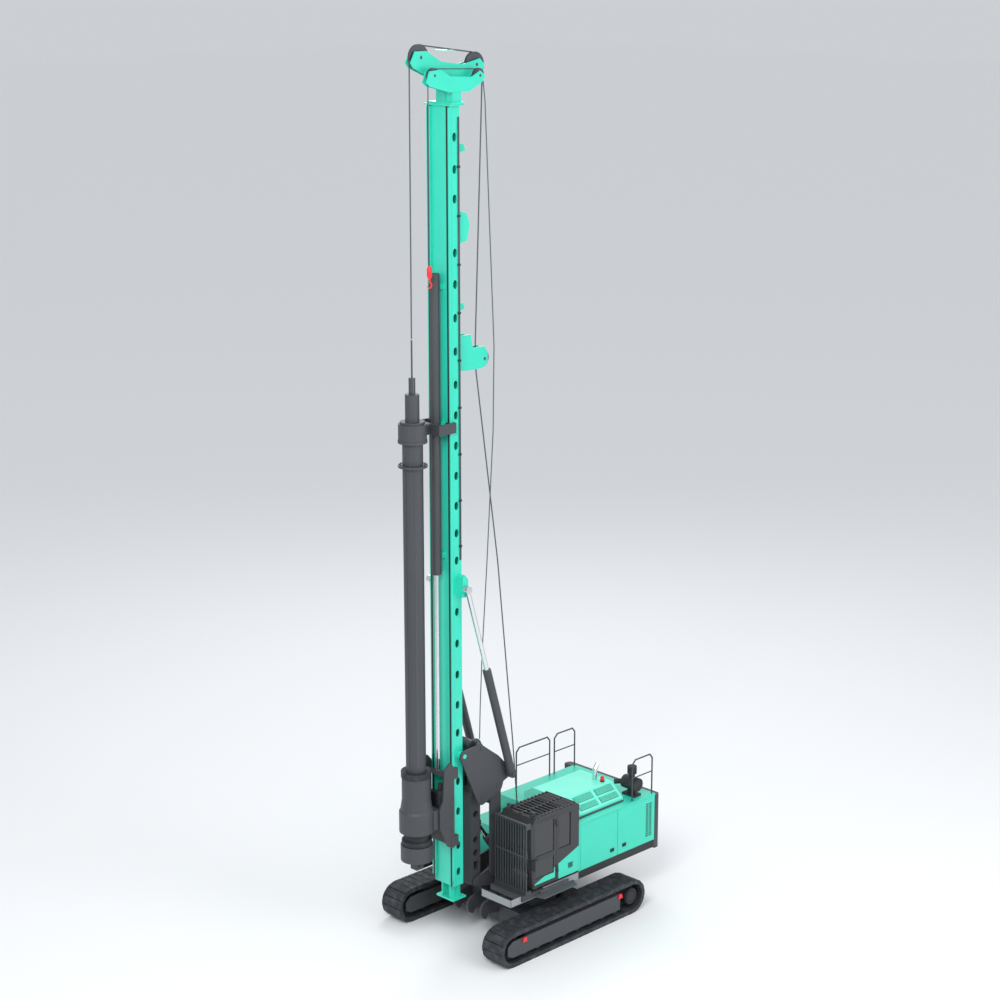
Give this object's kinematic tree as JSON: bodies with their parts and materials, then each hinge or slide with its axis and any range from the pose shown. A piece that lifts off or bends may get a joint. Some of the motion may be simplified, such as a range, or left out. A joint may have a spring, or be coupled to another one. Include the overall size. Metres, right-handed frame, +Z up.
{
  "type": "tracked rotary piling rig",
  "caption": "Tracked rotary piling rig with a tall mast, rope-hung telescopic kelly bar, rotary head, crowd cylinder, cab and slewing upper body.",
  "frame": {"origin": "on the ground under the slewing axis, which is the middle of the outline", "axes": "+X to the machine's left, the cab's side; -Y to its front, where the kelly hangs; +Z up"},
  "size_m": [3.858, 6.76, 19.66],
  "materials": {
    "green_paint": "semi-gloss green paint",
    "dark_paint": "satin dark grey paint",
    "track_steel": "worn dark steel",
    "chrome": "hard chrome",
    "machined_steel": "machined steel",
    "cab_paint": "satin charcoal paint",
    "rubber": "dark seat cloth",
    "grating": "grey steel grating",
    "iron": "painted iron"
  },
  "bodies": {
    "undercarriage": {"carbody": "dark_paint", "slew_ring": "machined_steel", "track_frame_left": "dark_paint", "track_left": "track_steel", "idler_left": "track_steel", "sprocket_left": "track_steel", "track_frame_right": "dark_paint", "track_right": "track_steel", "idler_right": "track_steel", "sprocket_right": "track_steel"},
    "superstructure": {"platform": "dark_paint", "counterweight": "dark_paint", "cab_step": "grating", "main_winch_frame": "dark_paint", "engine_house": "green_paint", "engine_block": "iron", "fuel_tank": "green_paint", "cab_shell": "cab_paint", "operator_seat": "rubber", "cab_guard": "dark_paint", "air_cleaner": "iron", "handrail_left_rear": "dark_paint", "handrail_right_front": "dark_paint", "handrail_right_rear": "dark_paint"},
    "cab_door": {"cab_door": "cab_paint"},
    "left_service_door_front": {"left_service_door_front": "green_paint"},
    "left_service_door_rear": {"left_service_door_rear": "green_paint"},
    "right_service_door": {"right_service_door": "green_paint"},
    "engine_hood": {"engine_hood": "green_paint", "exhaust_stack": "chrome"},
    "main_winch": {"main_winch_drum": "machined_steel"},
    "arm": {"luffing_arm": "dark_paint"},
    "link": {"support_link": "dark_paint"},
    "triangle": {"mast_triangle": "dark_paint"},
    "aux_winch": {"aux_winch_drum": "machined_steel"},
    "luffing_barrel": {"luffing_cylinder_barrel": "dark_paint"},
    "luffing_rod": {"luffing_cylinder_rod": "chrome"},
    "tilt_left_barrel": {"tilt_left_cylinder_barrel": "dark_paint"},
    "tilt_left_rod": {"tilt_left_cylinder_rod": "chrome"},
    "tilt_right_barrel": {"tilt_right_cylinder_barrel": "dark_paint"},
    "tilt_right_rod": {"tilt_right_cylinder_rod": "chrome"},
    "mast": {"mast": "green_paint", "mast_foot": "green_paint", "crowd_cylinder_barrel": "dark_paint", "mast_head": "green_paint"},
    "main_front_sheave": {"main_front_sheave": "machined_steel"},
    "main_rear_sheave": {"main_rear_sheave": "machined_steel"},
    "aux_front_sheave": {"aux_front_sheave": "machined_steel"},
    "aux_rear_sheave": {"aux_rear_sheave": "machined_steel"},
    "deflection_sheave": {"deflection_sheave": "machined_steel"},
    "rotary_head": {"rotary_head_frame": "dark_paint", "rotary_head_gearbox": "dark_paint", "head_motor_left": "iron", "head_motor_right": "iron", "crowd_cylinder_rod": "chrome"},
    "kelly_drive": {"kelly_drive": "iron"},
    "kelly_guide": {"kelly_guide": "dark_paint"},
    "kelly_outer": {"kelly_outer_tube": "dark_paint"},
    "kelly_inner": {"kelly_inner_bar": "dark_paint"},
    "rope_swivel": {"rope_swivel": "machined_steel"}
  },
  "joints": [
    {"name": "slew", "type": "hinge", "parent": "undercarriage", "child": "superstructure", "pos_m": [0, 0, 1.06], "axis": [0, 0, 1], "continuous": true},
    {"name": "cab_door_hinge", "type": "hinge", "parent": "superstructure", "child": "cab_door", "pos_m": [1.516, -0.185, 1.44], "axis": [0, 0, 1], "range_deg": [0, 150]},
    {"name": "left_service_door_front_hinge", "type": "hinge", "parent": "superstructure", "child": "left_service_door_front", "pos_m": [1.436, 0.685, 1.3], "axis": [0, 0, -1], "range_deg": [0, 90]},
    {"name": "left_service_door_rear_hinge", "type": "hinge", "parent": "superstructure", "child": "left_service_door_rear", "pos_m": [1.436, 3.165, 1.3], "axis": [0, 0, 1], "range_deg": [0, 90]},
    {"name": "right_service_door_hinge", "type": "hinge", "parent": "superstructure", "child": "right_service_door", "pos_m": [-1.106, 3.06, 1.36], "axis": [0, 0, -1], "range_deg": [0, 90]},
    {"name": "engine_hood_hinge", "type": "hinge", "parent": "superstructure", "child": "engine_hood", "pos_m": [-0.4, 0.72, 2.47], "axis": [0, -1, 0], "range_deg": [0, 60]},
    {"name": "main_winch_spin", "type": "hinge", "parent": "superstructure", "child": "main_winch", "pos_m": [0, 0.31, 2.2], "axis": [1, 0, 0], "continuous": true},
    {"name": "arm_luff", "type": "hinge", "parent": "superstructure", "child": "arm", "pos_m": [0, -1.45, 1.36], "axis": [1, 0, 0], "range_deg": [0, 18]},
    {"name": "link_turn", "type": "hinge", "parent": "superstructure", "child": "link", "pos_m": [0, -0.98, 1.52], "axis": [1, 0, 0], "range_deg": [-0.1, 18.1]},
    {"name": "triangle_level", "type": "hinge", "parent": "arm", "child": "triangle", "pos_m": [0, -1.45, 3.36], "axis": [1, 0, 0], "range_deg": [-18.1, 0.1]},
    {"name": "mast_tilt", "type": "hinge", "parent": "triangle", "child": "mast", "pos_m": [0, -1.99, 4.5], "axis": [1, 0, 0], "range_deg": [-15, 3]},
    {"name": "aux_winch_spin", "type": "hinge", "parent": "triangle", "child": "aux_winch", "pos_m": [0, -1.55, 4.56], "axis": [1, 0, 0], "continuous": true},
    {"name": "luffing_barrel_turn", "type": "hinge", "parent": "superstructure", "child": "luffing_barrel", "pos_m": [0, -0.45, 1.52], "axis": [1, 0, 0], "range_deg": [-0.1, 11.84]},
    {"name": "luffing_rod_slide", "type": "slide", "parent": "luffing_barrel", "child": "luffing_rod", "axis": [0, -0.5633, 0.8262], "range_m": [-0.002, 0.2781]},
    {"name": "tilt_left_barrel_turn", "type": "hinge", "parent": "triangle", "child": "tilt_left_barrel", "pos_m": [0.57, -0.66, 3.78], "axis": [1, 0, 0], "range_deg": [-11.91, 2.46]},
    {"name": "tilt_left_rod_slide", "type": "slide", "parent": "tilt_left_barrel", "child": "tilt_left_rod", "axis": [0, -0.2823, 0.9593], "range_m": [-0.303, 0.0622]},
    {"name": "tilt_right_barrel_turn", "type": "hinge", "parent": "triangle", "child": "tilt_right_barrel", "pos_m": [-0.57, -0.66, 3.78], "axis": [1, 0, 0], "range_deg": [-11.91, 2.46]},
    {"name": "tilt_right_rod_slide", "type": "slide", "parent": "tilt_right_barrel", "child": "tilt_right_rod", "axis": [0, -0.2823, 0.9593], "range_m": [-0.303, 0.0622]},
    {"name": "main_front_sheave_spin", "type": "hinge", "parent": "mast", "child": "main_front_sheave", "pos_m": [0, -2.74, 19.4], "axis": [1, 0, 0], "continuous": true},
    {"name": "main_rear_sheave_spin", "type": "hinge", "parent": "mast", "child": "main_rear_sheave", "pos_m": [0, -1.19, 19.2], "axis": [1, 0, 0], "continuous": true},
    {"name": "aux_front_sheave_spin", "type": "hinge", "parent": "mast", "child": "aux_front_sheave", "pos_m": [0.29, -2.62, 19.05], "axis": [1, 0, 0], "continuous": true},
    {"name": "aux_rear_sheave_spin", "type": "hinge", "parent": "mast", "child": "aux_rear_sheave", "pos_m": [0.29, -1.36, 19], "axis": [1, 0, 0], "continuous": true},
    {"name": "deflection_sheave_spin", "type": "hinge", "parent": "mast", "child": "deflection_sheave", "pos_m": [0, -1.01, 13.09], "axis": [1, 0, 0], "continuous": true},
    {"name": "crowd", "type": "slide", "parent": "mast", "child": "rotary_head", "axis": [0, 0, 1], "range_m": [-0.8, 3.4]},
    {"name": "kelly_drive_spin", "type": "hinge", "parent": "rotary_head", "child": "kelly_drive", "pos_m": [0, -3, 3], "axis": [0, 0, 1], "continuous": true},
    {"name": "kelly_guide_slide", "type": "slide", "parent": "rotary_head", "child": "kelly_guide", "axis": [0, 0, 1], "range_m": [-6.3, 0]},
    {"name": "kelly_spin", "type": "hinge", "parent": "kelly_guide", "child": "kelly_outer", "pos_m": [0, -3, 11.64], "axis": [0, 0, 1], "continuous": true},
    {"name": "kelly_telescope", "type": "slide", "parent": "kelly_outer", "child": "kelly_inner", "axis": [0, 0, 1], "range_m": [-8.5, 0]},
    {"name": "rope_swivel_spin", "type": "hinge", "parent": "kelly_inner", "child": "rope_swivel", "pos_m": [0, -3, 12.6], "axis": [0, 0, 1], "continuous": true}
  ],
  "couplings": [
    {"joint": "link_turn", "follows": "arm_luff", "ratio": 1},
    {"joint": "triangle_level", "follows": "arm_luff", "ratio": -1},
    {"joint": "luffing_barrel_turn", "follows": "arm_luff", "ratio": 0.65218},
    {"joint": "luffing_rod_slide", "follows": "arm_luff", "m_per_rad": 0.87877},
    {"joint": "tilt_left_barrel_turn", "follows": "mast_tilt", "ratio": 0.78729},
    {"joint": "tilt_left_rod_slide", "follows": "mast_tilt", "m_per_rad": 1.1498},
    {"joint": "tilt_right_barrel_turn", "follows": "mast_tilt", "ratio": 0.78729},
    {"joint": "tilt_right_rod_slide", "follows": "mast_tilt", "m_per_rad": 1.1498},
    {"joint": "kelly_spin", "follows": "kelly_drive_spin", "ratio": 1}
  ]
}
